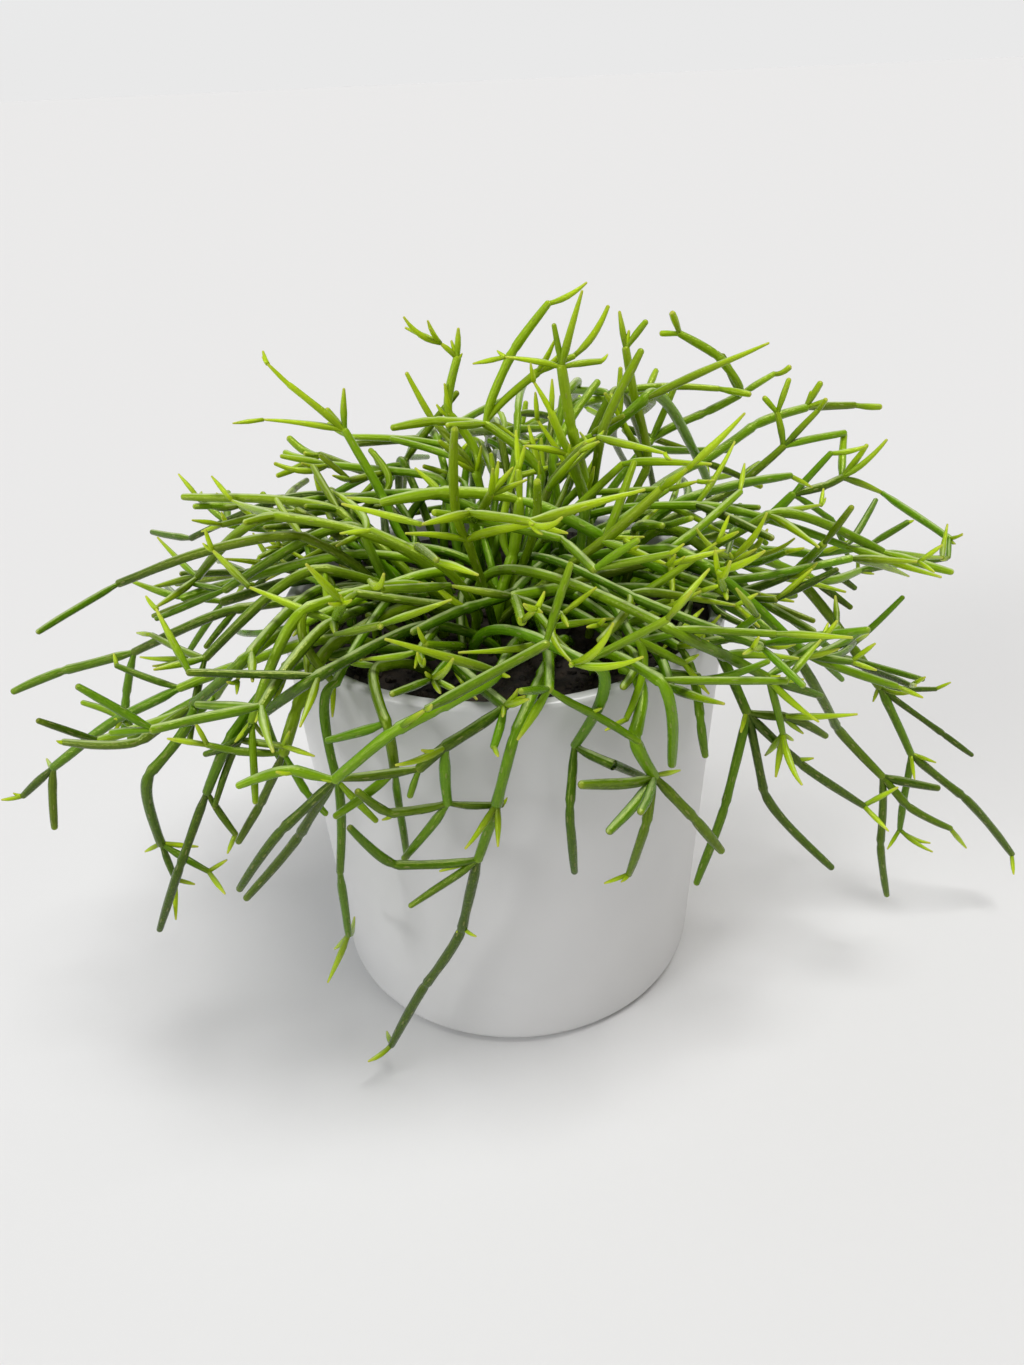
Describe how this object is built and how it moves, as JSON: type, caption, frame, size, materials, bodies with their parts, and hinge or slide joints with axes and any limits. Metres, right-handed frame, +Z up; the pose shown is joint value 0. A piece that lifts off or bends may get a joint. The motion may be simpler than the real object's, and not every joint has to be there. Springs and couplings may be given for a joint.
{
  "type": "potted mistletoe cactus",
  "caption": "Bushy mistletoe cactus with thin round green stems that fork in whorls, arch over the rim and hang, growing in dark peat in a plain white glazed ceramic pot.",
  "frame": {"origin": "centre of the pot's flat underside, on the surface that the pot stands on", "axes": "+Z up along the pot's axis, -Y towards the front of the plant, +X to its right seen from the front"},
  "size_m": [0.3421, 0.2428, 0.2241],
  "materials": {
    "glaze": "satin",
    "peat": "matte",
    "stem_green": "satin"
  },
  "bodies": {
    "root": {"pot": "glaze", "soil": "peat", "stem_01": "stem_green", "stem_02": "stem_green", "stem_03": "stem_green", "stem_04": "stem_green", "stem_05": "stem_green", "stem_06": "stem_green", "stem_07": "stem_green", "stem_08": "stem_green", "stem_09": "stem_green", "stem_10": "stem_green", "stem_11": "stem_green", "stem_12": "stem_green", "stem_13": "stem_green", "stem_14": "stem_green", "stem_15": "stem_green", "stem_16": "stem_green", "stem_17": "stem_green", "stem_18": "stem_green", "stem_19": "stem_green", "stem_20": "stem_green", "stem_21": "stem_green", "stem_22": "stem_green", "stem_23": "stem_green", "stem_24": "stem_green", "stem_25": "stem_green", "stem_26": "stem_green", "stem_27": "stem_green", "stem_28": "stem_green", "stem_29": "stem_green", "stem_30": "stem_green", "stem_31": "stem_green", "stem_32": "stem_green", "stem_33": "stem_green", "stem_34": "stem_green", "stem_35": "stem_green", "stem_36": "stem_green", "stem_37": "stem_green", "stem_38": "stem_green", "stem_39": "stem_green", "stem_40": "stem_green", "stem_41": "stem_green", "stem_42": "stem_green", "stem_43": "stem_green", "stem_44": "stem_green", "stem_45": "stem_green", "stem_46": "stem_green", "stem_47": "stem_green", "stem_48": "stem_green", "stem_49": "stem_green", "stem_50": "stem_green", "stem_51": "stem_green", "stem_52": "stem_green", "stem_53": "stem_green", "stem_54": "stem_green", "stem_55": "stem_green", "stem_56": "stem_green"}
  },
  "joints": []
}
